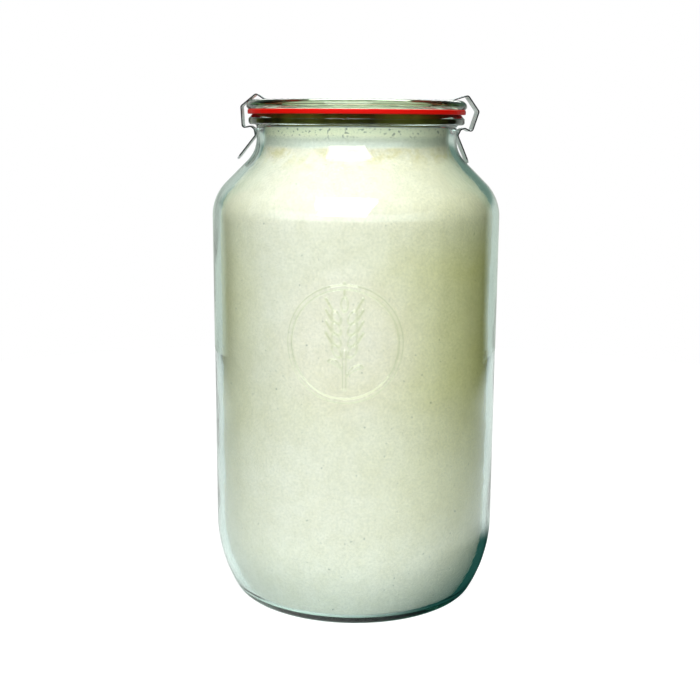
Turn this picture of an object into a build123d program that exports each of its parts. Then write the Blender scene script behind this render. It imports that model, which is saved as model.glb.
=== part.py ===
from build123d import *
import os
from math import acos, asin, atan2, cos, degrees, hypot, radians, sin, sqrt

os.makedirs("parts", exist_ok=True)

# Jar body: a glass cylinder on a foot ring, with a rounded heel and a sloping shoulder
jar_height = 245.0
body_radius = 72.4
wall = 3.6
heel_height = 37.5        # where the heel's curve ends and the straight side starts
heel_bend = 70.0
foot_round = 5.0
foot_width = 9.7          # flat ring that the jar stands on, outside the push-up
push_up_depth = 3.5
push_up_slope = 9.0
push_up_round = 4.0
floor_thickness = 4.0     # the floor rises over the push-up too
floor_round = 5.0
shoulder_bend = 23.2
shoulder_slope = 15.2     # straight stretch between the shoulder's two bends
neck_bend = 16.0
neck_radius = 50.0
neck_length = 6.5         # straight stretch under the bead

# Rim: a bead that the clamps hook under, with a narrower sealing land on top
bead_root = 1.2
bead_underside = 1.6
bead_round = 1.2
bead_band = 1.7
bevel_width = 2.0
bevel_height = 2.1
bevel_round = 0.6
mouth_round = 1.2

# Contents: starter that fills the jar up to the neck
fill_gap = 0.3
fill_rise = 7.4           # above the foot of the straight neck
fill_round = 2.0

# Rubber ring with a pull tab at the back
gasket_reach = 0.4        # past the bead
gasket_width = 7.4
gasket_thickness = 2.2
gasket_round = 0.5
seat_gap = 0.05
tab_width = 14.0
tab_length = 12.5
tab_root = 2.5

# Glass lid: outer ring, groove for the clamp tips, raised centre, hollow underside
lid_reach = 1.0           # past the bead
lid_height = 4.6
seat_inset = 0.9
seat_round = 0.5
taper_height = 1.3
lid_round = 3.2
ring_width = 8.0
ring_round = 1.0
groove_width = 7.0
groove_depth = 1.6
groove_round = 0.8
centre_drop = 0.3
plate_thickness = 2.2
centring_depth = 1.1
centring_gap = 0.5
centring_round = 0.5

# Spring clamps: bent strips from the lid's groove, round the rim, to a finger tail
clamp_width = 10.0
clamp_thickness = 0.6
clamp_gap = 0.1
clamp_bend = 1.3
tip_inset = 3.6           # tip to the wall of the lid's ring
apex_inset = 5.0
apex_rise = 3.0
bend_reach = 2.5
bend_lift = 1.5
corner_reach = 2.9
corner_drop = 1.9
hook_inset = 1.1          # hook's peak, in from the bead's edge and below the bead
hook_drop = 0.9
root_reach = 1.0          # where the strip turns down beside the neck
root_drop = 2.3
grip_drop = 5.4           # where it turns out again to the tail
tail_reach = 9.3
tail_drop = 11.7
tail_round = 3.0
tip_round = 1.0
seated_azimuth = 178.0    # degrees from +X
tilted_azimuth = 5.5
tilt = 15.0               # degrees, how far the loose clamp leans out at the top

# Radii and levels that the pieces share
mouth_radius = neck_radius - wall
bead_radius = neck_radius + bead_root + bead_underside + bead_round
land_radius = bead_radius - bevel_width
bead_low = jar_height - bevel_height - bead_band - bead_round
neck_foot = bead_low - neck_length
fill_level = neck_foot + fill_rise
gasket_radius = bead_radius + gasket_reach
gasket_bore = gasket_radius - gasket_width
gasket_level = jar_height + seat_gap
lid_seat = gasket_level + gasket_thickness + seat_gap
lid_top = lid_seat + lid_height
lid_radius = bead_radius + lid_reach
ring_bore = lid_radius - ring_width
groove_floor = lid_top - groove_depth
centre_radius = ring_bore - groove_width
centre_top = lid_top - centre_drop
hollow_radius = centre_radius - plate_thickness
hollow_top = centre_top - plate_thickness
centring_radius = gasket_bore - centring_gap
centring_low = lid_seat - centring_depth

# Foot: the heel's curve meets the flat foot through a small corner, and the push-up starts inside it
heel_run = sqrt((heel_bend - foot_round) ** 2 - (heel_height - foot_round) ** 2)
push_up_radius = body_radius - heel_bend + heel_run - foot_width

# Shoulder: the turn, in degrees from upright, that two bends and a slope need to reach the neck
shoulder_step = body_radius - neck_radius
both_bends = shoulder_bend + neck_bend
slope_share = (both_bends - shoulder_step) / hypot(both_bends, shoulder_slope)
shoulder_turn = degrees(acos(slope_share) - atan2(shoulder_slope, both_bends))
shoulder_rise = both_bends * sin(radians(shoulder_turn)) + shoulder_slope * cos(radians(shoulder_turn))
shoulder_start = neck_foot - shoulder_rise


def jar_side(inset, floor, corner):
    """Draw the jar's floor and side from the axis to the top of the neck curve, moved in by inset."""
    heel_reach = heel_bend - inset
    corner_fall = heel_height - floor - corner
    corner_run = sqrt((heel_reach - corner) ** 2 - corner_fall**2)
    heel_turn = degrees(asin(corner_fall / (heel_reach - corner)))
    corner_start = body_radius - heel_bend + corner_run

    FilletPolyline(
        (0, floor + push_up_depth),
        (push_up_radius - push_up_slope, floor + push_up_depth),
        (push_up_radius, floor),
        (corner_start, floor),
        radius=push_up_round,
    )
    low = JernArc((corner_start, floor), (1, 0), corner, 90 - heel_turn)
    heel = JernArc(low @ 1, low % 1, heel_reach, heel_turn)
    side = Line(heel @ 1, (body_radius - inset, shoulder_start))
    shoulder = JernArc(side @ 1, side % 1, shoulder_bend - inset, shoulder_turn)
    slope = PolarLine(shoulder @ 1, shoulder_slope, direction=shoulder % 1)
    return JernArc(slope @ 1, slope % 1, neck_bend + inset, -shoulder_turn)


# Glass jar: the outside with its push-up and rim bead, then the hollow
with BuildPart() as jar:
    with BuildSketch(Plane.XZ):
        with BuildLine():
            neck = jar_side(0, 0, foot_round)
            FilletPolyline(
                neck @ 1,
                (neck_radius, bead_low),
                (bead_radius, bead_low),
                (bead_radius, jar_height - bevel_height),
                (land_radius, jar_height),
                (0, jar_height),
                radius=[bead_root, bead_round, bevel_round, bevel_round],
            )
            Line((0, jar_height), (0, push_up_depth))
        make_face()
    revolve(axis=Axis.Z)
    with BuildSketch(Plane.XZ):
        with BuildLine():
            neck = jar_side(wall, floor_thickness, floor_round)
            hollow_low = (0, floor_thickness + push_up_depth)
            Polyline(neck @ 1, (mouth_radius, jar_height), (0, jar_height), hollow_low)
        make_face()
    revolve(axis=Axis.Z, mode=Mode.SUBTRACT)
    mouth_edge = jar.edges().filter_by(GeomType.CIRCLE).group_by(Axis.Z)[-1].sort_by(SortBy.RADIUS)[0]
    fillet(mouth_edge, mouth_round)
jar.part.label = "jar"
export_step(jar.part, "parts/jar.step")

# Starter: the filling, just inside the glass up to its level in the neck
with BuildPart() as starter:
    with BuildSketch(Plane.XZ):
        with BuildLine():
            fill_floor = floor_thickness + fill_gap
            neck = jar_side(wall + fill_gap, fill_floor, floor_round - fill_gap)
            FilletPolyline(
                neck @ 1,
                (mouth_radius - fill_gap, fill_level),
                (0, fill_level),
                (0, fill_floor + push_up_depth),
                radius=[fill_round, 0],
            )
        make_face()
    revolve(axis=Axis.Z)
starter.part.label = "starter"
export_step(starter.part, "parts/starter.step")

# Rubber ring: a flat ring with a rounded tab to pull it open
with BuildPart() as gasket:
    with BuildSketch(Plane.XY.offset(gasket_level)) as ring:
        Circle(gasket_radius)
        tab_end = gasket_radius + tab_length - tab_width / 2
        with Locations((0, tab_end / 2)):
            Rectangle(tab_width, tab_end)
        with Locations((0, tab_end)):
            Circle(tab_width / 2)
        root_height = sqrt(gasket_radius**2 - (tab_width / 2) ** 2)
        roots = ring.vertices().filter_by(lambda v: abs(v.Y - root_height) < seat_gap)
        fillet(roots, tab_root)
        Circle(gasket_bore, mode=Mode.SUBTRACT)
    extrude(amount=gasket_thickness)
    flat_faces = gasket.faces().filter_by(Axis.Z)
    fillet(flat_faces.edges(), gasket_round)
gasket.part.label = "gasket"
export_step(gasket.part, "parts/gasket.step")

# Glass lid: one turned profile, from the hollow underside round to the raised centre
with BuildPart() as lid:
    with BuildSketch(Plane.XZ):
        with BuildLine():
            FilletPolyline(
                (0, hollow_top),
                (hollow_radius, hollow_top),
                (hollow_radius, centring_low),
                (centring_radius, centring_low),
                (centring_radius, lid_seat),
                (lid_radius - seat_inset, lid_seat),
                (lid_radius, lid_seat + taper_height),
                (lid_radius, lid_top),
                (ring_bore, lid_top),
                (ring_bore, groove_floor),
                (centre_radius, groove_floor),
                (centre_radius, centre_top),
                (0, centre_top),
                radius=[
                    groove_round,
                    centring_round,
                    centring_round,
                    0,
                    seat_round,
                    0,
                    lid_round,
                    ring_round,
                    groove_round,
                    groove_round,
                    groove_round,
                ],
            )
            Line((0, centre_top), (0, hollow_top))
        make_face()
    revolve(axis=Axis.Z)
lid.part.label = "lid"
export_step(lid.part, "parts/lid.step")

# Path of a seated clamp, as radius and height, from its tip in the groove to its tail
clamp_clear = clamp_thickness / 2 + clamp_gap
tip = (ring_bore - tip_inset, groove_floor + clamp_clear)
apex = (lid_radius - apex_inset, lid_top + apex_rise)
bend = (lid_radius + bend_reach, lid_seat + bend_lift)
corner = (bead_radius + corner_reach, bead_low - corner_drop)
hook = (bead_radius - hook_inset, bead_low - hook_drop)
root = (neck_radius + root_reach, bead_low - root_drop)
grip = (neck_radius + clamp_clear, bead_low - grip_drop)
tail = (grip[0] + tail_reach, grip[1] - tail_drop)
seated_path = [tip, apex, bend, corner, hook, root, grip, tail]

# A tilted clamp leans out about its tip, which has slid up on to the flat of the ring
tilted_tip = (ring_bore + ring_round + clamp_gap, lid_top + clamp_clear)


def tilted(point):
    """Move a point of the seated path with the clamp, to where the tilted clamp has it."""
    out, up = point[0] - tip[0], point[1] - tip[1]
    angle = radians(tilt)
    return (
        tilted_tip[0] + out * cos(angle) + up * sin(angle),
        tilted_tip[1] - out * sin(angle) + up * cos(angle),
    )


def clamp_strip(path, azimuth):
    """Bend the strip along a path in the upright plane at an azimuth, and round its ends."""
    angle = radians(azimuth)
    upright = Plane((0, 0, 0), x_dir=(cos(angle), sin(angle), 0), z_dir=(sin(angle), -cos(angle), 0))
    with BuildPart() as strip:
        with BuildSketch(upright):
            with BuildLine() as centre_line:
                FilletPolyline(*path, radius=clamp_bend)
            trace(centre_line.line, clamp_thickness)
        extrude(amount=clamp_width / 2, both=True)
        for end, round_radius in ((path[0], tip_round), (path[-1], tail_round)):
            place = upright.from_local_coords(Vector(*end))
            end_face = strip.faces().sort_by_distance(place)[0]
            across = end_face.edges().filter_by(Axis(place, upright.z_dir), reverse=True)
            fillet(across, round_radius)
    return strip.part


# Left clamp: seated, tip in the groove and hook tight under the bead
clamp_left = clamp_strip(seated_path, seated_azimuth)
clamp_left.label = "clamp_left"
export_step(clamp_left, "parts/clamp_left.step")

# Right clamp: tilted outwards, with its tail on the shoulder
clamp_right = clamp_strip([tilted(point) for point in seated_path], tilted_azimuth)
clamp_right.label = "clamp_right"
export_step(clamp_right, "parts/clamp_right.step")
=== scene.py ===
from math import acos, asin, atan2, ceil, copysign, cos, hypot, pi, radians, sin, sqrt, tan

import bmesh
import bpy
import numpy as np
from bpy.props import FloatProperty, FloatVectorProperty, PointerProperty
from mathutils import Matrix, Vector, noise


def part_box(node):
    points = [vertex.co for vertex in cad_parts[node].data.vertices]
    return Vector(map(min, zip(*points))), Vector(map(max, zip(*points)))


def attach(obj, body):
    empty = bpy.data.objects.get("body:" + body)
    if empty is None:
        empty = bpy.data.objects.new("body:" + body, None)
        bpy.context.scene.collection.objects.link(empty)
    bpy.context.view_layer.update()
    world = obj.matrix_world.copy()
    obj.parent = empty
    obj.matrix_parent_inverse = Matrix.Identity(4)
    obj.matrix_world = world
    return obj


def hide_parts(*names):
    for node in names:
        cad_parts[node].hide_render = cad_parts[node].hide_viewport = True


bl_info = {
    "name": "Sourdough Starter Jar",
    "version": (1, 0, 0),
    "blender": (4, 5, 0),
    "location": "3D View > Sidebar > Starter Jar",
    "description": "Dresses a clamp-lid glass jar of sourdough starter: "
                   "glass, filling, rubber ring, steel clamps and stage",
    "category": "Object",
}

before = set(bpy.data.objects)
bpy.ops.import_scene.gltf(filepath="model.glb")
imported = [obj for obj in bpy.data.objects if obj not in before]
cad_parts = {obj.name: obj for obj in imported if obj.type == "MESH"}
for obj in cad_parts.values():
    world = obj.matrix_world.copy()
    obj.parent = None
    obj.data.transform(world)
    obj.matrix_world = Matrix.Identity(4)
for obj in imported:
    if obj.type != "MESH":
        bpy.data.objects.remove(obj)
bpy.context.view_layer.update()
_, jar_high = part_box("jar")
lid_low, lid_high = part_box("lid")
_, starter_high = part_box("starter")

MM = 0.001
CLOSE = 1e-6               # points nearer than this are one point, in metres


# Sizes and colours that a user would change

def length(name, description, default):
    return FloatProperty(name=name, description=description, default=default, min=0, unit="LENGTH", precision=4)


def colour(name, description, default):
    return FloatVectorProperty(name=name, description=description, default=default, min=0, max=1, subtype="COLOR")


class JarSizes(bpy.types.PropertyGroup):
    height: length("Height", "From the foot to the sealing rim", jar_high.z)
    body_radius: length("Body radius", "Outer radius of the straight body", jar_high.x)
    wall: length("Wall", "Thickness of the glass wall", 3.6 * MM)
    heel_height: length("Heel height", "Where the heel's curve ends", 37.5 * MM)
    heel_bend: length("Heel bend", "Radius of the heel's curve", 70 * MM)
    foot_round: length("Foot round", "Radius between heel and foot", 5 * MM)
    foot_width: length("Foot width", "Width of the flat ring that the jar stands on", 9.7 * MM)
    push_up_depth: length("Push-up depth", "Depth of the hollow under the base", 3.5 * MM)
    push_up_slope: length("Push-up slope", "Width of the slope into that hollow", 9 * MM)
    push_up_round: length("Push-up round", "Radius at both ends of that slope", 4 * MM)
    floor_thickness: length("Floor", "Thickness of the glass floor", 4 * MM)
    floor_round: length("Floor round", "Radius between floor and wall inside", 5 * MM)
    shoulder_bend: length("Shoulder bend", "Radius from the body into the shoulder", 23.2 * MM)
    shoulder_slope: length("Shoulder slope", "Straight stretch of the shoulder", 15.2 * MM)
    neck_bend: length("Neck bend", "Radius from the shoulder into the neck", 16 * MM)
    neck_radius: length("Neck radius", "Outer radius of the neck", 50 * MM)
    neck_length: length("Neck length", "Straight stretch under the bead", 6.5 * MM)
    bead_root: length("Bead root", "Radius between neck and bead", 1.2 * MM)
    bead_underside: length("Bead underside", "Flat underside of the bead", 1.6 * MM)
    bead_round: length("Bead round", "Radius of the bead's lower edge", 1.2 * MM)
    bead_band: length("Bead band", "Upright band of the bead", 1.7 * MM)
    bevel_width: length("Bevel width", "Width of the bevel up to the sealing rim", 2 * MM)
    bevel_height: length("Bevel height", "Height of the bevel up to the sealing rim", 2.1 * MM)
    bevel_round: length("Bevel round", "Radius at both ends of that bevel", 0.6 * MM)
    mouth_round: length("Mouth round", "Radius of the mouth's inner edge", 1.2 * MM)


class LidSizes(bpy.types.PropertyGroup):
    radius: length("Radius", "Outer radius of the lid", lid_high.x)
    height: length("Height", "From the seat on the rubber ring to the top", 4.6 * MM)
    seat_inset: length("Seat inset", "Taper of the lower edge", 0.9 * MM)
    seat_round: length("Seat round", "Radius of the lower edge", 0.5 * MM)
    taper_height: length("Taper height", "Height of the lower taper", 1.3 * MM)
    edge_round: length("Edge round", "Radius of the upper edge", 3.2 * MM)
    ring_width: length("Ring width", "Width of the raised outer ring", 8 * MM)
    ring_round: length("Ring round", "Radius of the ring's inner edge", 1 * MM)
    groove_width: length("Groove width", "Width of the groove for the clamp tips", 7 * MM)
    groove_depth: length("Groove depth", "Depth of that groove", 1.6 * MM)
    groove_round: length("Groove round", "Radius of the groove's corners", 0.8 * MM)
    centre_drop: length("Centre drop", "How far the centre lies below the ring", 0.3 * MM)
    plate: length("Plate", "Thickness of the centre", 2.2 * MM)
    centring_radius: length("Centring radius", "Radius of the ring that centres the lid in the rubber", 46.5 * MM)
    centring_round: length("Centring round", "Radius of its corners", 0.5 * MM)


class MotifSizes(bpy.types.PropertyGroup):
    azimuth: FloatProperty(name="Azimuth", description="Place round the jar, from the front", default=radians(-4.2),
                           subtype="ANGLE")
    height: length("Height", "Middle of the motif above the foot", 141.5 * MM)
    ring_radius: length("Ring radius", "Middle of the ring round the ear", 26.5 * MM)
    ring_width: length("Ring width", "Width of the ring", 2 * MM)
    relief: length("Relief", "How far the motif stands out of the glass", 0.8 * MM)
    panel_radius: length("Panel radius", "Where the shallow panel under the motif begins", 40 * MM)


class StarterSizes(bpy.types.PropertyGroup):
    gap: length("Gap", "Air between the filling and the glass", 0.3 * MM)
    level: length("Level", "Highest point of the filling", starter_high.z)
    edge_round: length("Edge round", "Radius of the filling's upper edge", 2 * MM)
    unevenness: length("Unevenness", "Depth of the hollows in the filling's surface", 1.6 * MM)
    bubble: length("Bubble", "Spread of the largest bubbles on the surface", 5 * MM)


class JarFinish(bpy.types.PropertyGroup):
    jar_glass: colour("Jar glass", "What a long way through the jar's glass looks like", (0.48, 0.75, 0.68))
    lid_glass: colour("Lid glass", "What a long way through the lid's glass looks like", (0.57, 0.76, 0.46))
    starter_light: colour("Starter, light", "The filling's paler stretches", (0.96, 0.84, 0.74))
    # painted shade: the colour of the filling's shaded sides
    starter_side_shade: colour("Starter, deep", "The filling's deeper stretches", (0.86, 0.73, 0.27))
    rubber: colour("Rubber", "The rubber ring", (0.86, 0.006, 0.002))
    steel: colour("Steel", "The spring clamps", (0.60, 0.62, 0.64))
    # painted shade: the colour of the dark film inside the mouth, which darkens the bead
    mouth_shade: colour("Residue", "The dried film inside the mouth", (0.20, 0.185, 0.02))
    crumb: colour("Crumb", "The gritty stretch at the top of the filling", (1.0, 0.94, 0.72))
    # painted shade: the grey of the filling's top surface, in shade under the lid and rubber ring
    skin: colour("Skin", "The filling's dry upper surface", (0.62, 0.61, 0.56))


class JarSettings(bpy.types.PropertyGroup):
    jar: PointerProperty(type=JarSizes)
    lid: PointerProperty(type=LidSizes)
    motif: PointerProperty(type=MotifSizes)
    starter: PointerProperty(type=StarterSizes)
    finish: PointerProperty(type=JarFinish)


# Turned profiles

SIDE_ROWS = 8              # rows of faces in a plain stretch of the straight side
MOTIF_ROWS = 150           # rows at the motif, close enough for its relief


class Outline:
    """A profile drawn as radius and height, with straight stretches and the arcs between them."""

    def __init__(self, start, heading=0.0, step=1.1 * MM):
        self.points = [Vector(start)]
        self.heading = heading
        self.step = step

    def forward(self, distance, steps=1):
        start = self.points[-1].copy()
        way = Vector((cos(self.heading), sin(self.heading))) * distance
        self.points += [start + way * i / steps for i in range(1, steps + 1)]

    def arc(self, radius, turn):
        """Turn left on an arc, or right where the angle is negative."""
        side = copysign(1, turn)
        count = max(3, ceil(abs(turn) * radius / self.step))
        centre = self.points[-1] + Vector((-sin(self.heading), cos(self.heading))) * radius * side
        for i in range(1, count + 1):
            angle = self.heading + turn * i / count
            self.points.append(centre - Vector((-sin(angle), cos(angle))) * radius * side)
        self.heading += turn

    def through(self, corners, radii):
        """Go straight to each corner in turn, and round all but the last."""
        corners = [Vector(corner) for corner in corners]
        for corner, after, radius in zip(corners, corners[1:], radii):
            ahead, beyond = corner - self.points[-1], after - corner
            self.heading = atan2(ahead.y, ahead.x)
            turn = atan2(ahead.cross(beyond), ahead.dot(beyond))
            cut = radius * tan(abs(turn) / 2)
            self.forward(ahead.length - cut)
            if radius:
                self.arc(radius, turn)
        last = corners[-1] - self.points[-1]
        self.heading = atan2(last.y, last.x)
        self.forward(last.length)


def push_up_radius(jar):
    heel_run = sqrt((jar.heel_bend - jar.foot_round) ** 2 - (jar.heel_height - jar.foot_round) ** 2)
    return jar.body_radius - jar.heel_bend + heel_run - jar.foot_width


def jar_side(outline, jar, inset, corner, rows=((1, SIDE_ROWS),)):
    """Draw the floor and the side, from over the push-up to the top of the neck curve, moved in by inset.

    The straight side is drawn in stretches, each a share of its height and the rows in it.
    """
    floor = outline.points[0].y - jar.push_up_depth
    heel_reach = jar.heel_bend - inset
    corner_fall = jar.heel_height - floor - corner
    corner_run = sqrt((heel_reach - corner) ** 2 - corner_fall**2)
    heel_turn = asin(corner_fall / (heel_reach - corner))
    outline.through(
        [(push_up_radius(jar) - jar.push_up_slope, floor + jar.push_up_depth), (push_up_radius(jar), floor),
         (jar.body_radius - jar.heel_bend + corner_run, floor)],
        [jar.push_up_round, jar.push_up_round],
    )
    outline.arc(corner, pi / 2 - heel_turn)
    outline.arc(heel_reach, heel_turn)
    side = side_height(jar)
    for share, count in rows:
        outline.forward(side * share, count)
    turn = shoulder_turn(jar)
    outline.arc(jar.shoulder_bend - inset, turn)
    outline.forward(jar.shoulder_slope, ceil(jar.shoulder_slope / outline.step))
    outline.arc(jar.neck_bend + inset, -turn)


def shoulder_turn(jar):
    """How far the side leans in on the shoulder."""
    both_bends = jar.shoulder_bend + jar.neck_bend
    step = jar.body_radius - jar.neck_radius
    slope_share = (both_bends - step) / hypot(both_bends, jar.shoulder_slope)
    return acos(slope_share) - atan2(jar.shoulder_slope, both_bends)


def side_height(jar):
    """How tall the straight side is, between heel and shoulder."""
    turn = shoulder_turn(jar)
    rise = (jar.shoulder_bend + jar.neck_bend) * sin(turn) + jar.shoulder_slope * cos(turn)
    return bead_low(jar) - jar.neck_length - rise - jar.heel_height


def bead_low(jar):
    return jar.height - jar.bevel_height - jar.bead_band - jar.bead_round


def bead_radius(jar):
    return jar.neck_radius + jar.bead_root + jar.bead_underside + jar.bead_round


def motif_rows(jar, motif):
    """The stretches of the straight side: below the motif, at it with close rows, and above it."""
    low = motif.height - motif.panel_radius - jar.heel_height
    high = low + 2 * motif.panel_radius
    side = side_height(jar)
    return (low / side, SIDE_ROWS), ((high - low) / side, MOTIF_ROWS), (1 - high / side, SIDE_ROWS)


def jar_outline(jar, motif):
    """The whole section of the glass: push-up, outside, bead, mouth, inside and floor."""
    mouth_radius = jar.neck_radius - jar.wall
    land_radius = bead_radius(jar) - jar.bevel_width
    glass = Outline((0, jar.push_up_depth))
    jar_side(glass, jar, 0, jar.foot_round, motif_rows(jar, motif))
    glass.through(
        [(jar.neck_radius, bead_low(jar)), (bead_radius(jar), bead_low(jar)),
         (bead_radius(jar), jar.height - jar.bevel_height), (land_radius, jar.height),
         (mouth_radius, jar.height), (mouth_radius, bead_low(jar))],
        [jar.bead_root, jar.bead_round, jar.bevel_round, jar.bevel_round, jar.mouth_round],
    )
    inside = Outline((0, jar.push_up_depth + jar.floor_thickness), step=1.6 * MM)
    jar_side(inside, jar, jar.wall, jar.floor_round)
    return glass.points + inside.points[::-1]


def lid_outline(lid):
    """The lid's section, from the hollow underside round its edge to the raised centre."""
    top = lid_high.z
    seat = top - lid.height
    ring_bore = lid.radius - lid.ring_width
    groove = top - lid.groove_depth
    centre_radius = ring_bore - lid.groove_width
    centre_top = top - lid.centre_drop
    hollow_radius, hollow_top = centre_radius - lid.plate, centre_top - lid.plate
    glass = Outline((0, hollow_top), step=0.25 * MM)
    glass.through(
        [(hollow_radius, hollow_top), (hollow_radius, lid_low.z), (lid.centring_radius, lid_low.z),
         (lid.centring_radius, seat), (lid.radius - lid.seat_inset, seat),
         (lid.radius, seat + lid.taper_height), (lid.radius, top), (ring_bore, top), (ring_bore, groove),
         (centre_radius, groove), (centre_radius, centre_top), (0, centre_top)],
        [lid.groove_round, lid.centring_round, lid.centring_round, lid.seat_round / 4, lid.seat_round,
         lid.seat_round, lid.edge_round, lid.ring_round, lid.groove_round, lid.groove_round, lid.groove_round],
    )
    return glass.points


FRONT_HALF = radians(36)   # half of the front sector that holds the motif
FRONT_STEPS = 180
REST_STEPS = 80
ROUND_STEPS = 240
SLICES = 10                # each sector is spun in this many slices, which is faster


def turned(points, sectors):
    """Spin a profile round the upright axis, sector by sector, each an angle and its steps."""
    whole = bmesh.new()
    around = -pi / 2 - sectors[0][0] / 2
    for angle, steps in sectors:
        for _ in range(SLICES):
            part = bmesh.new()
            wire = [part.verts.new((p.x * cos(around), p.x * sin(around), p.y)) for p in points]
            edges = [part.edges.new(pair) for pair in zip(wire, wire[1:])]
            bmesh.ops.spin(part, geom=wire + edges, axis=(0, 0, 1), cent=(0, 0, 0), dvec=(0, 0, 0),
                           angle=angle / SLICES, steps=steps // SLICES)
            sheet = bpy.data.meshes.new("slice")
            part.to_mesh(sheet)
            part.free()
            whole.from_mesh(sheet)
            bpy.data.meshes.remove(sheet)
            around += angle / SLICES
    bmesh.ops.remove_doubles(whole, verts=whole.verts, dist=CLOSE)
    return whole


def finished(name, bm, material, body, *nodes):
    """Close a mesh, shade it smooth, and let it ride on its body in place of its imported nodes."""
    bmesh.ops.recalc_face_normals(bm, faces=bm.faces)
    for face in bm.faces:
        face.smooth = True
    mesh = bpy.data.meshes.new(name)
    bm.to_mesh(mesh)
    bm.free()
    mesh.materials.append(material)
    piece = bpy.data.objects.new(name, mesh)
    bpy.context.scene.collection.objects.link(piece)
    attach(piece, body)
    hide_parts(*nodes)
    return piece


# The motif: an ear of wheat in a plain ring, in shares of the ring's radius

GRAIN_LENGTH_SHARE, GRAIN_WIDTH_SHARE = 0.17, 0.085
GRAIN_LEAN = radians(30)
GRAIN_HEIGHT_SHARES = (-0.12, 0.08, 0.28, 0.48)
GRAIN_REACH_SHARE = 0.14
TOP_GRAIN_SHARE = 0.70
STEM_LOW_SHARE, STEM_WIDTH_SHARE = -0.78, 0.032
AWN_LENGTH_SHARE, AWN_WIDTH_SHARE = 0.20, 0.022
LEAF_SHARES = ((-0.60, 0.34), (-0.48, -0.30))      # where each leaf leaves the stem, and how far out it goes
LEAF_WIDTH_SHARE = 0.035
GRAIN_CORE, GRAIN_BLUR = 0.72, 0.28                # how far a grain is full height, and its rounded flank
AWN_RELIEF = 0.6                                   # the awns stand less high than the grains
LINE_BLUR_SHARE = 0.3                              # of the ring's width
LEAF_BLUR = 0.03
FLANK = "flank"            # the mesh attribute that marks the motif's steep flanks


def soft_edge(distance, half_width, blur):
    """1 inside a line, 0 outside, with a rounded flank."""
    share = np.clip((half_width + blur - distance) / (2 * blur), 0, 1)
    return share * share * (3 - 2 * share)


def to_segment(x, y, start, end):
    way_x, way_y = end[0] - start[0], end[1] - start[1]
    share = np.clip(((x - start[0]) * way_x + (y - start[1]) * way_y) / (way_x**2 + way_y**2), 0, 1)
    return np.hypot(x - start[0] - share * way_x, y - start[1] - share * way_y)


def motif_height(x, y, motif):
    """The relief, from 0 to 1, at places on the unrolled body, in shares of the ring's radius."""
    width = motif.ring_width / motif.ring_radius
    blur = LINE_BLUR_SHARE * width
    high = soft_edge(abs(np.hypot(x, y) - 1), width / 2, blur)

    grains = [(side * GRAIN_REACH_SHARE, up, -side * GRAIN_LEAN) for up in GRAIN_HEIGHT_SHARES for side in (-1, 1)]
    grains.append((0, TOP_GRAIN_SHARE, 0))
    for place_x, place_y, lean in grains:
        along_x, along_y = -sin(lean), cos(lean)
        along = (x - place_x) * along_x + (y - place_y) * along_y
        across = (x - place_x) * along_y - (y - place_y) * along_x
        reach = np.hypot(along / GRAIN_LENGTH_SHARE, across / GRAIN_WIDTH_SHARE)
        high = np.maximum(high, soft_edge(reach, GRAIN_CORE, GRAIN_BLUR))
        tip = (place_x + along_x * GRAIN_LENGTH_SHARE, place_y + along_y * GRAIN_LENGTH_SHARE)
        end = (tip[0] + along_x * AWN_LENGTH_SHARE, tip[1] + along_y * AWN_LENGTH_SHARE)
        awn = soft_edge(to_segment(x, y, tip, end), AWN_WIDTH_SHARE, blur / 2)
        high = np.maximum(high, AWN_RELIEF * awn)

    stem = to_segment(x, y, (0, STEM_LOW_SHARE), (0, GRAIN_HEIGHT_SHARES[0]))
    high = np.maximum(high, soft_edge(stem, STEM_WIDTH_SHARE, blur / 2))
    for root, reach in LEAF_SHARES:
        across = np.clip(x / reach, 0, 1)
        middle = root + abs(reach) * (1.5 * across - 0.9 * across**2)
        half = LEAF_WIDTH_SHARE * np.sqrt(np.sin(pi * across))
        leaf = soft_edge(abs(y - middle), half, LEAF_BLUR) * (half > 0.2 * LEAF_WIDTH_SHARE)
        high = np.maximum(high, leaf)
    return high


def press_motif(bm, jar, motif):
    """Sink a shallow panel into the front of the body, and leave the motif standing in it."""
    flank = bm.verts.layers.float.new(FLANK)
    verts = [vert for vert in bm.verts if vert.co.y < 0 and abs(vert.co.z - motif.height) < motif.panel_radius]
    places = np.array([vert.co for vert in verts])
    radii = np.hypot(places[:, 0], places[:, 1])
    around = np.arctan2(places[:, 0], -places[:, 1])
    x = (around - motif.azimuth) * jar.body_radius / motif.ring_radius
    y = (places[:, 2] - motif.height) / motif.ring_radius
    panel_share = motif.panel_radius / motif.ring_radius
    panel = soft_edge(np.hypot(x, y), (panel_share + 1) / 2, (panel_share - 1) / 2)
    outside = abs(radii - jar.body_radius) < CLOSE
    high = motif_height(x, y, motif)
    sunk = motif.relief * panel * (1 - high) * outside
    places[:, :2] *= (1 - sunk / radii)[:, None]
    for vert, place, slope in zip(verts, places, 4 * high * (1 - high) * outside):
        vert.co = place
        vert[flank] = slope


def paint_mouth_shade(bm, jar):
    """Give the inside of the mouth the second material, a dark film of painted shade that darkens the bead."""
    mouth_radius = jar.neck_radius - jar.wall
    low, high = bead_low(jar), jar.height - jar.mouth_round
    for face in bm.faces:
        middle = face.calc_center_median()
        if hypot(middle.x, middle.y) < mouth_radius + CLOSE and low < middle.z < high:
            face.material_index = 1


# Materials

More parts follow.
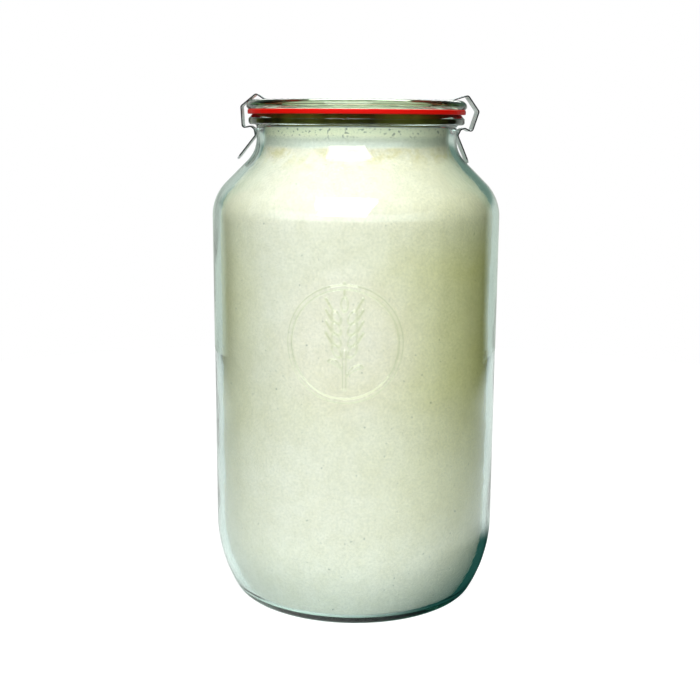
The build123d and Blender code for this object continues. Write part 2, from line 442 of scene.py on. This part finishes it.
class Nodes:
    """The node tree of a material or world, with short ways to add a node and to link it."""

    def __init__(self, owner, output="ShaderNodeOutputMaterial"):
        owner.use_nodes = True
        self.owner = owner
        self.tree = owner.node_tree
        self.tree.nodes.clear()
        self.output = self.add(output)

    def add(self, kind, settings=(), **inputs):
        node = self.tree.nodes.new(kind)
        for name, value in dict(settings).items():
            setattr(node, name, value)
        for name, value in inputs.items():
            self.feed(node.inputs[name.replace("_", " ")], value)
        return node

    def feed(self, socket, value):
        if isinstance(value, bpy.types.NodeSocket):
            self.tree.links.new(value, socket)
        else:
            socket.default_value = value

    def surface(self, shader):
        """End the tree in a shader, and give back the material or world."""
        self.feed(self.output.inputs["Surface"], shader)
        return self.owner

    def place(self, scale=(1, 1, 1)):
        """Object coordinates, stretched by scale."""
        coordinates = self.add("ShaderNodeTexCoord")
        mapping = self.add("ShaderNodeMapping", Vector=coordinates.outputs["Object"], Scale=scale)
        return mapping.outputs["Vector"]

    def noise(self, scale, detail=2.0, roughness=0.5, place=None):
        texture = self.add("ShaderNodeTexNoise", Vector=place or self.place(), Scale=scale, Detail=detail,
                           Roughness=roughness)
        return texture.outputs["Fac"]

    def ramp(self, value, *stops):
        """Colours at places from 0 to 1."""
        ramp = self.add("ShaderNodeValToRGB", Fac=value)
        while len(ramp.color_ramp.elements) < len(stops):
            ramp.color_ramp.elements.new(0.5)
        for element, (place, shade) in zip(ramp.color_ramp.elements, stops):
            element.position = place
            element.color = (*shade, 1) if hasattr(shade, "__len__") else (shade, shade, shade, 1)
        return ramp.outputs["Color"]

    def mix(self, share, first, second, blend="MIX"):
        node = self.add("ShaderNodeMix", {"data_type": "RGBA", "blend_type": blend})
        for socket, value in ((0, share), (6, first), (7, second)):
            self.feed(node.inputs[socket], value)
        return node.outputs[2]

    def times(self, first, second):
        """One colour multiplied by another."""
        return self.mix(1.0, first, second, "MULTIPLY")

    def math(self, operation, first, second=0.0):
        node = self.add("ShaderNodeMath", {"operation": operation})
        self.feed(node.inputs[0], first)
        self.feed(node.inputs[1], second)
        return node.outputs[0]

    def smooth(self, value, low, high):
        """0 at low and 1 at high, with a soft start and end."""
        node = self.add("ShaderNodeMapRange", {"interpolation_type": "SMOOTHSTEP"}, Value=value, From_Min=low,
                        From_Max=high)
        return node.outputs["Result"]

    def share(self, value, low, extent):
        """0 where value is low, and 1 one extent above it."""
        return self.math("MULTIPLY", self.math("SUBTRACT", value, low), 1 / extent)

    def distance(self, place, other):
        node = self.add("ShaderNodeVectorMath", {"operation": "DISTANCE"})
        self.feed(node.inputs[0], place)
        self.feed(node.inputs[1], other)
        return node.outputs["Value"]

    def bump(self, height, strength, distance):
        node = self.add("ShaderNodeBump", Height=height, Strength=strength, Distance=distance)
        return node.outputs["Normal"]


def material_nodes(name):
    return Nodes(bpy.data.materials.new(name))


GLASS_DENSITY = 50.0       # per metre, for the absorbing part of a glass colour
GLASS_IOR = 1.52
GLASS_TINT = (0.985, 0.997, 0.99, 1)
FLANK_SHADE_TINT = (0.74, 0.78, 0.58, 1)      # painted shade: the motif's flanks are tinted darker, for the dark lines their refraction casts on the filling
SHADOW_TINT = (0.93, 0.97, 0.94)
SHADOW_SLANT = (0.65, 0.70, 0.66)       # what is left of light that meets the glass at a slant
SLANT_FROM, SLANT_TO = 0.52, 0.85       # Facing values between which the one turns into the other
FINE_WAVES, FINE_SHARE = 9, 0.06        # the finer waves: how much closer, and how high beside the broad ones
JAR_WAVES, LID_WAVES = (30, 0.28 * MM), (45, 0.12 * MM)        # scale and depth


def glass_material(name, tint, wave_scale, wave_depth):
    """Clear pressed glass: tinted by the way light goes through it, with the mould's faint waves on it."""
    nodes = material_nodes(name)
    waves = nodes.noise(wave_scale, detail=1.5)
    fine = nodes.noise(wave_scale * FINE_WAVES, detail=2)
    height = nodes.math("ADD", waves, nodes.math("MULTIPLY", fine, FINE_SHARE))
    flank = nodes.add("ShaderNodeAttribute", {"attribute_name": FLANK}).outputs["Fac"]
    # painted shade along the motif's flanks
    body = nodes.mix(flank, GLASS_TINT, FLANK_SHADE_TINT)
    glass = nodes.add("ShaderNodeBsdfPrincipled", Base_Color=body, Roughness=0.0, IOR=GLASS_IOR,
                      Transmission_Weight=1.0, Normal=nodes.bump(height, 1.0, wave_depth))
    slant = nodes.add("ShaderNodeLayerWeight", Blend=0.5).outputs["Facing"]
    shadow = nodes.ramp(slant, (SLANT_FROM, SHADOW_TINT), (SLANT_TO, SHADOW_SLANT))
    clear = nodes.add("ShaderNodeBsdfTransparent", Color=shadow)
    path = nodes.add("ShaderNodeLightPath")
    mix = nodes.add("ShaderNodeMixShader")
    nodes.feed(mix.inputs[0], path.outputs["Is Shadow Ray"])
    nodes.feed(mix.inputs[1], glass.outputs[0])
    nodes.feed(mix.inputs[2], clear.outputs[0])
    inside = nodes.add("ShaderNodeVolumeAbsorption", Color=(*tint, 1), Density=GLASS_DENSITY)
    nodes.feed(nodes.output.inputs["Volume"], inside.outputs[0])
    return nodes.surface(mix.outputs[0])


MOUTH_SHADE_DARK = 0.06        # the painted shade film's thick patches, as a share of its colour


def mouth_shade_material(finish):
    """Painted shade: a dark film inside the mouth that darkens the bead, thin in places."""
    nodes = material_nodes("painted_mouth_shade")
    olive = Vector(finish.mouth_shade)
    patches = nodes.noise(30, 3, 0.6)
    shade = nodes.ramp(patches, (0.40, tuple(olive * MOUTH_SHADE_DARK)), (0.62, tuple(olive)))
    film = nodes.add("ShaderNodeBsdfPrincipled", Base_Color=shade, Roughness=0.6, Specular_IOR_Level=0.1,
                     Normal=nodes.bump(nodes.noise(500, 3), 0.3, 0.1 * MM))
    return nodes.surface(film.outputs[0])


SIDE_SHADE_FROM, SIDE_SHADE_TO = -10 * MM, 85 * MM      # painted shade: across the jar, where the filling turns from pale to shaded
LEFT_SIDE_SHADE = 35 * MM, 80 * MM                # the same towards the left
LEFT_SIDE_SHADE_SHARE = 0.6                       # where it is shaded less
SIDE_SHADE_LIFT = 0.5                             # how much the broad stretches shift it
SIDE_SHADE_REACH = (0.12, 0.30), (0.50, 1.0), (0.72, 1.0), (0.86, 0.4)       # how deep the painted shade gets, by share of the height
FOOT_LIGHT_TINT = (1.0, 0.95, 0.86)                # painted light: the paler foot of the filling
FOOT_LIGHT_FROM, FOOT_LIGHT_TO, FOOT_LIGHT_SHARE = 0.03, 0.25, ((0.05, 0.8), (0.25, 0.0))
GRAIN_RAMP = (0.30, 0.84), (0.70, 1.0)
CLOUD_RAMP = (0.35, (0.95, 0.945, 0.91)), (0.62, 1.0)
SPECK_RAMP = (0.19, 0.55), (0.25, 1.0)
GRIT_RAMP = (0.31, 0.42), (0.38, 1.0)
GRIT_UNDER = 9 * MM, 4 * MM                 # the gritty stretch begins and is full this far under the top
TOP_SHADE_UNDER = 2.1 * MM, 1.7 * MM             # and the painted shade on the top surface
NECK_SHADE_LOW, NECK_SHADE_HEIGHT = 230 * MM, 7 * MM    # painted grey-blue shade and reflection in the neck, where its curve turns from the light
NECK_SHADE_RAMP = (0.0, 0.0), (0.25, 1.0), (0.75, 1.0), (1.0, 0.0)
NECK_SHADE_TINT = (0.80, 0.86, 0.88, 1)
NECK_SHADE_WANDER = 3 * MM                        # how far the painted shade strays up
CRUST_LOW, CRUST_HEIGHT = 219 * MM, 12 * MM     # the darker patches under it
CRUST_RAMP = (0.0, 0.0), (0.6, 1.0), (0.9, 1.0), (1.0, 0.0)
CRUST_PATCHES = (0.44, 0.0), (0.62, 1.0)
CRUST_SHADE = (0.88, 0.84, 0.64, 1)


def starter_material(finish):
    """Thick flour paste: cream in broad soft stretches, with painted shade and painted light laid on, fine grains
    and small dark pits.
    """
    nodes = material_nodes("starter_paste")
    split = nodes.add("ShaderNodeSeparateXYZ", Vector=nodes.place())
    shade = paste_tone_and_painted_light(nodes, split, finish)

    speck = nodes.ramp(nodes.noise(560, 1, 0.4), *SPECK_RAMP)
    grit = nodes.ramp(nodes.noise(800, 1, 0.5), *GRIT_RAMP)
    gritty = nodes.smooth(split.outputs["Z"], *(starter_high.z - under for under in GRIT_UNDER))
    shade = nodes.times(nodes.times(shade, paste_grain(nodes)), speck)
    shade = nodes.mix(gritty, shade, nodes.times((*finish.crumb, 1), grit))

    wander = nodes.math("MULTIPLY", nodes.noise(40, 2), NECK_SHADE_WANDER)
    up = nodes.math("ADD", split.outputs["Z"], wander)
    # painted grey-blue shade and reflection in the neck
    band = nodes.ramp(nodes.share(up, NECK_SHADE_LOW, NECK_SHADE_HEIGHT), *NECK_SHADE_RAMP)
    shade = nodes.mix(band, shade, nodes.times(shade, NECK_SHADE_TINT))
    crust = nodes.ramp(nodes.share(up, CRUST_LOW, CRUST_HEIGHT), *CRUST_RAMP)
    crust = nodes.math("MULTIPLY", crust, nodes.ramp(nodes.noise(130, 4, 0.7), *CRUST_PATCHES))
    shade = nodes.mix(crust, shade, nodes.times(shade, CRUST_SHADE))
    # painted shade on the filling's top surface
    skin = nodes.smooth(split.outputs["Z"], *(starter_high.z - under for under in TOP_SHADE_UNDER))
    shade = nodes.mix(skin, shade, (*finish.skin, 1))

    height = nodes.math("ADD", nodes.noise(600, 3, 0.7), nodes.math("MULTIPLY", nodes.noise(70, 2), 2.0))
    paste = nodes.add("ShaderNodeBsdfPrincipled", Base_Color=shade, Roughness=0.92,
                      Specular_IOR_Level=0.2, Normal=nodes.bump(height, 0.5, 0.3 * MM))
    return nodes.surface(paste.outputs[0])


def paste_tone_and_painted_light(nodes, split, finish):
    """The filling's broad colour: pale to the front and left, painted shade to the sides, and painted light that
    makes it pale again at the foot.
    """
    aside = nodes.smooth(split.outputs["X"], SIDE_SHADE_FROM, SIDE_SHADE_TO)
    lift = nodes.math("MULTIPLY", nodes.math("SUBTRACT", nodes.noise(18, 3, 0.55), 0.5), SIDE_SHADE_LIFT)
    other = nodes.smooth(nodes.math("MULTIPLY", split.outputs["X"], -1.0), *LEFT_SIDE_SHADE)
    sides = nodes.math("ADD", aside, nodes.math("MULTIPLY", other, LEFT_SIDE_SHADE_SHARE))
    up_share = nodes.math("MULTIPLY", split.outputs["Z"], 1 / starter_high.z)
    reach = nodes.ramp(up_share, *SIDE_SHADE_REACH)
    # painted shade to the sides, shifted by random broad stretches
    side_shade = nodes.math("MULTIPLY", nodes.math("ADD", sides, lift), reach)
    shade = nodes.ramp(side_shade, (0.0, (*finish.starter_light,)), (1.0, (*finish.starter_side_shade,)))
    # painted light that pales the filling's foot
    low = nodes.ramp(up_share, (FOOT_LIGHT_FROM, FOOT_LIGHT_TINT), (FOOT_LIGHT_TO, (*finish.starter_light,)))
    return nodes.mix(nodes.ramp(up_share, *FOOT_LIGHT_SHARE), shade, low)


def paste_grain(nodes):
    """Fine grains, in denser and thinner clouds."""
    grain = nodes.ramp(nodes.noise(900, 2, 0.7), *GRAIN_RAMP)
    cloud = nodes.ramp(nodes.noise(110, 4, 0.7), *CLOUD_RAMP)
    return nodes.times(grain, cloud)


def rubber_material(finish):
    """Red rubber: matt, a little dusty, with the moulding's fine grain."""
    nodes = material_nodes("red_rubber")
    red = Vector(finish.rubber)
    dust = nodes.ramp(nodes.noise(160, 4, 0.6), (0.35, tuple(red)), (0.75, tuple(red * 0.92)))
    rough = nodes.ramp(nodes.noise(240, 3), (0.3, 0.38), (0.7, 0.56))
    rubber = nodes.add("ShaderNodeBsdfPrincipled", Base_Color=dust, Roughness=rough, Specular_IOR_Level=0.12,
                       Normal=nodes.bump(nodes.noise(1400, 2), 0.35, 0.1 * MM))
    return nodes.surface(rubber.outputs[0])


STRIP_HALF = 5 * MM        # half of the strip's width
EDGE_SHADE_INSIDE = 0.35 * MM, 0.1 * MM      # the painted dark outline of shade begins and is full this far inside it
# painted shade: near-black steel along the strip's edges
STEEL_EDGE_SHADE = (0.05, 0.055, 0.055, 1)
LEFT_AZIMUTH, RIGHT_AZIMUTH = radians(178), radians(5.5)      # where the clamps sit, from +X


def steel_material(finish, name, azimuth):
    """Rolled spring steel: fine draw lines along the strip, brighter and duller stretches, and a painted dark
    outline of shade along its edges.
    """
    nodes = material_nodes(name)
    across = nodes.add("ShaderNodeVectorMath", {"operation": "DOT_PRODUCT"})
    nodes.feed(across.inputs[0], nodes.place())
    nodes.feed(across.inputs[1], (-sin(azimuth), cos(azimuth), 0))
    aside = nodes.math("ABSOLUTE", across.outputs["Value"])
    edge = nodes.smooth(aside, *(STRIP_HALF - inside for inside in EDGE_SHADE_INSIDE))
    lines = nodes.noise(140, 3, 0.6, nodes.place((1, 14, 1)))
    wear = nodes.noise(220, 3, 0.6)
    steel = Vector(finish.steel)
    shade = nodes.ramp(lines, (0.3, tuple(steel * 0.86)), (0.7, tuple(steel * 1.08)))
    rough = nodes.ramp(wear, (0.3, 0.22), (0.7, 0.38))
    metal = nodes.add("ShaderNodeBsdfPrincipled", Base_Color=nodes.mix(edge, shade, STEEL_EDGE_SHADE),
                      Metallic=1.0, Roughness=rough, Normal=nodes.bump(lines, 0.25, 0.05 * MM))
    return nodes.surface(metal.outputs[0])


# Operators: one for each piece or group of like pieces, and one for the stage

class STARTERJAR_OT_jar(bpy.types.Operator):
    """Turn the glass jar and press its motif"""
    bl_idname = "starter_jar.jar"
    bl_label = "Jar"

    def execute(self, context):
        settings = context.scene.starter_jar
        sectors = [(2 * FRONT_HALF, FRONT_STEPS), (2 * pi - 2 * FRONT_HALF, REST_STEPS)]
        bm = turned(jar_outline(settings.jar, settings.motif), sectors)
        press_motif(bm, settings.jar, settings.motif)
        glass = glass_material("jar_glass", settings.finish.jar_glass, *JAR_WAVES)
        # the inside of the mouth gets a dark film of painted shade
        paint_mouth_shade(bm, settings.jar)
        piece = finished("glass_jar", bm, glass, "jar", "jar")
        piece.data.materials.append(mouth_shade_material(settings.finish))
        return {"FINISHED"}


class STARTERJAR_OT_lid(bpy.types.Operator):
    """Turn the glass lid"""
    bl_idname = "starter_jar.lid"
    bl_label = "Lid"

    def execute(self, context):
        settings = context.scene.starter_jar
        bm = turned(lid_outline(settings.lid), [(2 * pi, ROUND_STEPS)])
        glass = glass_material("lid_glass", settings.finish.lid_glass, *LID_WAVES)
        finished("glass_lid", bm, glass, "lid", "lid")
        return {"FINISHED"}


TOP_STEP = 1 * MM          # between the rings of the filling's top


class STARTERJAR_OT_starter(bpy.types.Operator):
    """Fill the jar with starter, with an uneven, bubbly surface"""
    bl_idname = "starter_jar.starter"
    bl_label = "Starter"

    def execute(self, context):
        settings = context.scene.starter_jar
        jar, starter = settings.jar, settings.starter
        inset = jar.wall + starter.gap
        paste = Outline((0, jar.push_up_depth + jar.floor_thickness + starter.gap), step=1.5 * MM)
        jar_side(paste, jar, inset, jar.floor_round - starter.gap)
        edge = jar.neck_radius - inset
        paste.through([(edge, starter.level), (0, starter.level)], [starter.edge_round])
        # The flat top is drawn again in short stretches, so that its surface can be made uneven
        flat_start = paste.points[-2].x
        paste.points.pop()
        paste.heading = pi
        paste.forward(flat_start, ceil(flat_start / TOP_STEP))
        bm = turned(paste.points, [(2 * pi, ROUND_STEPS)])
        for vert in bm.verts:
            if vert.co.z > starter.level - CLOSE:
                vert.co.z -= surface_drop(vert.co, starter)
        finished("starter_paste", bm, starter_material(settings.finish), "jar", "starter")
        return {"FINISHED"}


def surface_drop(place, starter):
    """How far the filling's surface lies below its highest point: broad hollows and round bubble pits."""
    broad = noise.fractal(place / (4 * starter.bubble), 1.0, 2.0, 3)
    near, _ = noise.voronoi(place / starter.bubble)
    pit = max(0, 1 - near[0] * 3) ** 2
    share = min(1, max(0, 0.5 + 0.5 * broad))
    return starter.unevenness * (0.7 * share + 0.3 * pit)


class STARTERJAR_OT_gasket(bpy.types.Operator):
    """Finish the rubber ring"""
    bl_idname = "starter_jar.gasket"
    bl_label = "Rubber ring"

    def execute(self, context):
        coat("gasket", rubber_material(context.scene.starter_jar.finish))
        return {"FINISHED"}


class STARTERJAR_OT_clamps(bpy.types.Operator):
    """Finish the two spring clamps"""
    bl_idname = "starter_jar.clamps"
    bl_label = "Clamps"

    def execute(self, context):
        finish = context.scene.starter_jar.finish
        for name, azimuth in (("clamp_left", LEFT_AZIMUTH), ("clamp_right", RIGHT_AZIMUTH)):
            coat(name, steel_material(finish, name + "_steel", azimuth))
        return {"FINISHED"}


def coat(node, material):
    """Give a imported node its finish."""
    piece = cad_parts[node]
    for slot in piece.material_slots:
        slot.link = "OBJECT"
        slot.material = material


# Stage: camera, a pale table, a white backdrop behind it, a large soft lamp above the front and one behind

CAMERA_PLACE = (-3.3 * MM, -587.5 * MM, 241.5 * MM)
CAMERA_PITCH = radians(78.77)
CAMERA_ROLL = radians(-0.35)
FOCAL_SHARE = 1150 / 700   # focal length over the picture's width
SENSOR = 36
TABLE_RADIUS = 0.66
TABLE_GAP = 0.15 * MM
# painted light: away from the camera the table also glows faintly, as if more brightly lit
TABLE_PALE, TABLE_GLOW = (0.9, 0.9, 0.9, 1), (0.20, 0.23, 0.21, 1)
# painted shadow: the colour and glow of the dark place by the jar
SHADE_COLOUR, SHADE_GLOW = (0.02, 0.05, 0.045, 1), (0.006, 0.05, 0.042, 1)
TABLE_SEEN, TABLE_WHITE = (0.3, 0.3, 0.3, 1), (0.94, 0.94, 0.94, 1)
SHADE_PLACE = (0.065, 0, 0)          # painted shadow: the table is darker under the jar's right side
SHADE_REACH = 0.052, 0.11
FADE_REACH, FADE_FRONT = (0.18, 0.55), (-0.30, -0.04)      # painted shade: it fades away from the jar, but not behind it
FADE_SIDE = 0.34, 0.56               # and far out to the sides
# painted shade: the dark colour that the table fades to
TABLE_RIM_SHADE = (0.03, 0.03, 0.02, 1)
BACKDROP_HALF = radians(52)
BACKDROP_LOW, BACKDROP_HIGH = radians(-30), radians(8)
PATCH_AROUND, PATCH_UP = (radians(-37), radians(-9)), (0, radians(26))      # where it reaches higher
BACKDROP_LIGHT = (0.62, 0.68, 0.62, 1)
WALL_HIGH = radians(60)
WALL_LIGHT = (0.17, 0.26, 0.22, 1)
FRONT_AROUND = radians(-85), radians(75)
FRONT_UP = radians(4), radians(28)
FRONT_LIGHT = (1.1, 1.2, 1.35, 1)
ROOM_LIGHT = (0.035, 0.03, 0.015, 1)
EDGE_BLUR = radians(6)
FRONT_BLUR = radians(30)
LAMP_AIM, LAMP_DISTANCE = Vector((0, 0, 0.15)), 1.2

# Each lamp's name, azimuth from the front, height, size and power
KEY = "key", radians(-11), radians(43), (0.84, 0.95), 12.2
FILL = "fill", radians(176), radians(36), (0.9, 0.6), 5.5


class STARTERJAR_OT_stage(bpy.types.Operator):
    """Set up the table, the backdrop, the lamps and the camera"""
    bl_idname = "starter_jar.stage"
    bl_label = "Stage"

    def execute(self, context):
        scene = context.scene
        scene.view_settings.view_transform = "Standard"
        lay_table(scene)
        hang_backdrop(scene)
        hang_lamp(scene, *KEY)
        hang_lamp(scene, *FILL)
        stand_camera(scene)
        return {"FINISHED"}


def lay_table(scene):
    bm = bmesh.new()
    bmesh.ops.create_circle(bm, cap_ends=True, segments=128, radius=TABLE_RADIUS)
    mesh = bpy.data.meshes.new("table")
    bm.to_mesh(mesh)
    bm.free()
    mesh.materials.append(table_material())
    table = bpy.data.objects.new("table", mesh)
    table.location.z = -TABLE_GAP
    scene.collection.objects.link(table)


def table_material():
    """White to the camera, and otherwise pale with a faint painted glow, a painted shadow by the jar and a rim that
    fades into painted shade.
    """
    nodes = material_nodes("pale_table")
    seen = nodes.add("ShaderNodeLightPath").outputs["Is Camera Ray"]
    here = nodes.place()
    split = nodes.add("ShaderNodeSeparateXYZ", Vector=here)
    lit = nodes.smooth(nodes.distance(here, SHADE_PLACE), *SHADE_REACH)
    ahead = nodes.smooth(nodes.math("MULTIPLY", split.outputs["Y"], -1.0), *FADE_FRONT)
    faded = nodes.math("MULTIPLY", nodes.smooth(nodes.distance(here, (0, 0, 0)), *FADE_REACH), ahead)
    beside = nodes.smooth(nodes.math("ABSOLUTE", split.outputs["X"]), *FADE_SIDE)
    faded = nodes.math("MAXIMUM", faded, beside)
    colour_there = nodes.mix(faded, nodes.mix(lit, SHADE_COLOUR, TABLE_PALE), TABLE_RIM_SHADE)
    glow_there = nodes.mix(faded, nodes.mix(lit, SHADE_GLOW, TABLE_GLOW), TABLE_RIM_SHADE)
    matt = nodes.add("ShaderNodeBsdfDiffuse", Color=nodes.mix(seen, colour_there, TABLE_SEEN))
    glow = nodes.add("ShaderNodeEmission", Color=nodes.mix(seen, glow_there, TABLE_WHITE))
    both = nodes.add("ShaderNodeAddShader")
    nodes.feed(both.inputs[0], matt.outputs[0])
    nodes.feed(both.inputs[1], glow.outputs[0])
    return nodes.surface(both.outputs[0])


def within(nodes, angle, low, high, blur=EDGE_BLUR):
    """1 between two angles, 0 outside, with soft edges."""
    above = nodes.math("DIVIDE", nodes.math("SUBTRACT", angle, low), blur)
    below = nodes.math("DIVIDE", nodes.math("SUBTRACT", high, angle), blur)
    nearer = nodes.math("MINIMUM", above, below)
    return nodes.math("MAXIMUM", nodes.math("MINIMUM", nearer, 1.0), 0.0)


def hang_backdrop(scene):
    """White behind the jar and where the camera looks, a bright stretch in front, and a dim room round the rest."""
    scene.world = bpy.data.worlds.new("studio")
    nodes = Nodes(scene.world, "ShaderNodeOutputWorld")
    direction = nodes.add("ShaderNodeTexCoord").outputs["Generated"]
    split = nodes.add("ShaderNodeSeparateXYZ", Vector=direction)
    up = nodes.math("ARCSINE", split.outputs["Z"])
    behind = nodes.math("ARCTAN2", split.outputs["X"], split.outputs["Y"])
    ahead = nodes.math("ARCTAN2", split.outputs["X"], nodes.math("MULTIPLY", split.outputs["Y"], -1.0))
    across = within(nodes, behind, -BACKDROP_HALF, BACKDROP_HALF)
    back = nodes.math("MULTIPLY", across, within(nodes, up, BACKDROP_LOW, BACKDROP_HIGH))
    patch = nodes.math("MULTIPLY", within(nodes, behind, *PATCH_AROUND), within(nodes, up, *PATCH_UP))
    back = nodes.math("MAXIMUM", back, patch)
    wall = nodes.math("MULTIPLY", across, within(nodes, up, BACKDROP_LOW, WALL_HIGH))
    front = nodes.math("MULTIPLY", within(nodes, ahead, *FRONT_AROUND, FRONT_BLUR), within(nodes, up, *FRONT_UP))
    shade = nodes.mix(back, nodes.mix(wall, ROOM_LIGHT, WALL_LIGHT), BACKDROP_LIGHT)
    shade = nodes.mix(front, shade, FRONT_LIGHT)
    seen = nodes.add("ShaderNodeLightPath").outputs["Is Camera Ray"]
    light = nodes.add("ShaderNodeBackground", Color=nodes.mix(seen, shade, (1, 1, 1, 1)))
    nodes.surface(light.outputs[0])


def hang_lamp(scene, name, azimuth, height, size, power):
    """Hang a soft lamp that looks at the jar, azimuth counted from the front."""
    data = bpy.data.lights.new(name, "AREA")
    data.shape = "RECTANGLE"
    data.size, data.size_y = size
    data.energy = power
    lamp = bpy.data.objects.new(name, data)
    way = Vector((sin(azimuth) * cos(height), -cos(azimuth) * cos(height), sin(height)))
    lamp.location = LAMP_AIM + way * LAMP_DISTANCE
    lamp.rotation_euler = (-way).to_track_quat("-Z", "Y").to_euler()
    lamp.visible_camera = False
    scene.collection.objects.link(lamp)


def stand_camera(scene):
    data = bpy.data.cameras.new("camera")
    data.sensor_width = SENSOR
    data.lens = FOCAL_SHARE * SENSOR
    camera = bpy.data.objects.new("camera", data)
    camera.location = CAMERA_PLACE
    camera.rotation_euler = (CAMERA_PITCH, CAMERA_ROLL, 0)
    scene.collection.objects.link(camera)
    scene.camera = camera


class STARTERJAR_PT_panel(bpy.types.Panel):
    """Lists the jar's pieces and its stage"""
    bl_label = "Starter Jar"
    bl_idname = "STARTERJAR_PT_panel"
    bl_space_type = "VIEW_3D"
    bl_region_type = "UI"
    bl_category = "Starter Jar"

    def draw(self, context):
        for operator in OPERATORS:
            self.layout.operator(operator.bl_idname)
        for group in ("jar", "lid", "motif", "starter", "finish"):
            settings = getattr(context.scene.starter_jar, group)
            column = self.layout.column(heading=group.capitalize())
            for name in settings.__annotations__:
                column.prop(settings, name)


OPERATORS = (STARTERJAR_OT_jar, STARTERJAR_OT_lid, STARTERJAR_OT_starter, STARTERJAR_OT_gasket,
             STARTERJAR_OT_clamps, STARTERJAR_OT_stage)
CLASSES = (JarSizes, LidSizes, MotifSizes, StarterSizes, JarFinish, JarSettings, *OPERATORS, STARTERJAR_PT_panel)


def register():
    for each in CLASSES:
        bpy.utils.register_class(each)
    bpy.types.Scene.starter_jar = PointerProperty(type=JarSettings)


def unregister():
    del bpy.types.Scene.starter_jar
    for each in reversed(CLASSES):
        bpy.utils.unregister_class(each)


def main():
    register()
    bpy.ops.starter_jar.jar()
    bpy.ops.starter_jar.lid()
    bpy.ops.starter_jar.starter()
    bpy.ops.starter_jar.gasket()
    bpy.ops.starter_jar.clamps()
    bpy.ops.starter_jar.stage()


if __name__ == "__main__":
    main()
